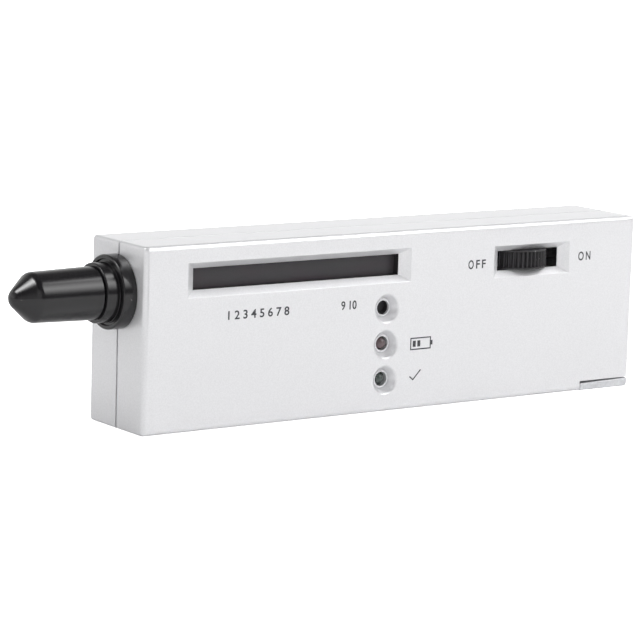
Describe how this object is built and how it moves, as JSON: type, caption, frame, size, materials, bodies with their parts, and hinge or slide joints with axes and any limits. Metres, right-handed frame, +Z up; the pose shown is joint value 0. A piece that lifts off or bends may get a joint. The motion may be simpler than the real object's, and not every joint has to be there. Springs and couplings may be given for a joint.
{
  "type": "diamond tester",
  "caption": "Hand-held thermal gem tester: slim box case with capped probe, smoked lamp display, status lamps, thumbwheel switch and slide-off battery door.",
  "frame": {"origin": "centre of the bounding box's bottom face: under the middle of the whole outline with the cap on, at the height of the long narrow side that the tester stands on", "axes": "+X along the case, away from the probe; -Y out of the front panel with its display and wheel; +Z up, from the narrow side that it stands on"},
  "size_m": [0.1784, 0.0244, 0.045],
  "materials": {
    "case_plastic": "fine satin moulding",
    "door_plastic": "grainy satin moulding",
    "foam": "soft foam",
    "black_gloss": "semi-gloss black",
    "black_matt": "matt black",
    "smoked_window": "smoked, smooth",
    "wheel_black": "satin black",
    "clear_red": "clear brownish lamp body",
    "clear_green": "clear greenish lamp body",
    "lamp_green": "translucent green",
    "lamp_red": "translucent red",
    "board_green": "solder mask",
    "chip_black": "moulded resin",
    "trimmer_blue": "moulded",
    "capacitor_sleeve": "shrunk sleeve",
    "resistor_lacquer": "lacquered",
    "steel": "plated",
    "brass": "bright",
    "copper": "polished",
    "ceramic": "unglazed",
    "plug_plastic": "natural",
    "rotor_plastic": "natural",
    "pot_laminate": "laminate",
    "battery_jacket": "plain lacquered jacket",
    "red_insulation": "vinyl",
    "black_insulation": "vinyl",
    "white_insulation": "vinyl"
  },
  "bodies": {
    "case": {"front_cover": "case_plastic", "back_cover": "case_plastic", "display_bezel": "black_matt", "display_lens": "smoked_window", "lamp_housing": "black_matt", "battery_lamp": "clear_red", "ready_lamp": "clear_green", "battery_lamp_spacer": "black_matt", "ready_lamp_spacer": "black_matt", "main_board": "board_green", "amplifier_chip_1": "chip_black", "amplifier_chip_2": "chip_black", "lamp_driver_chip": "chip_black", "trimmer_1": "trimmer_blue", "trimmer_2": "trimmer_blue", "capacitor_1": "capacitor_sleeve", "capacitor_2": "capacitor_sleeve", "resistor_1": "resistor_lacquer", "resistor_2": "resistor_lacquer", "sounder": "black_matt", "pot_body": "pot_laminate", "battery": "battery_jacket", "snap_connector": "black_matt", "probe_collar": "black_gloss", "probe_nose": "black_matt", "probe_spring": "steel", "probe_plug": "plug_plastic", "red_lead": "red_insulation", "black_lead": "black_insulation", "probe_lead_1": "white_insulation", "probe_lead_2": "white_insulation", "case_screw_1": "steel", "case_screw_2": "steel", "case_screw_3": "steel", "case_screw_4": "steel", "board_screw_1": "brass", "board_screw_2": "brass", "board_screw_3": "brass", "bar_lamp_01": "lamp_green", "bar_lamp_02": "lamp_green", "bar_lamp_03": "lamp_green", "bar_lamp_04": "lamp_green", "bar_lamp_05": "lamp_green", "bar_lamp_06": "lamp_green", "bar_lamp_07": "lamp_red", "bar_lamp_08": "lamp_red", "bar_lamp_09": "lamp_red", "bar_lamp_10": "lamp_red", "bar_lamp_11": "lamp_red", "bar_lamp_12": "lamp_red"},
    "cap": {"protective_cap": "black_gloss"},
    "tip": {"probe_tip": "copper", "probe_heater": "ceramic"},
    "wheel": {"thumbwheel": "wheel_black", "wheel_screw": "steel", "pot_rotor": "rotor_plastic"},
    "door": {"battery_door": "door_plastic", "battery_pad": "foam"}
  },
  "joints": [
    {"name": "thumbwheel_turn", "type": "hinge", "parent": "case", "child": "wheel", "pos_m": [0.05535, -0.00325, 0.0354], "axis": [0, 0, 1], "range_deg": [0, 300]},
    {"name": "cap_pull_off", "type": "slide", "parent": "case", "child": "cap", "axis": [-1, 0, 0], "range_m": [0, 0.03]},
    {"name": "tip_press", "type": "slide", "parent": "case", "child": "tip", "axis": [1, 0, 0], "range_m": [0, 0.0015], "stiffness_N_per_m": 600, "springref_m": -0.0008, "deforming": ["probe_spring"]},
    {"name": "battery_door_slide", "type": "slide", "parent": "case", "child": "door", "axis": [1, 0, 0], "range_m": [0, 0.022]}
  ]
}
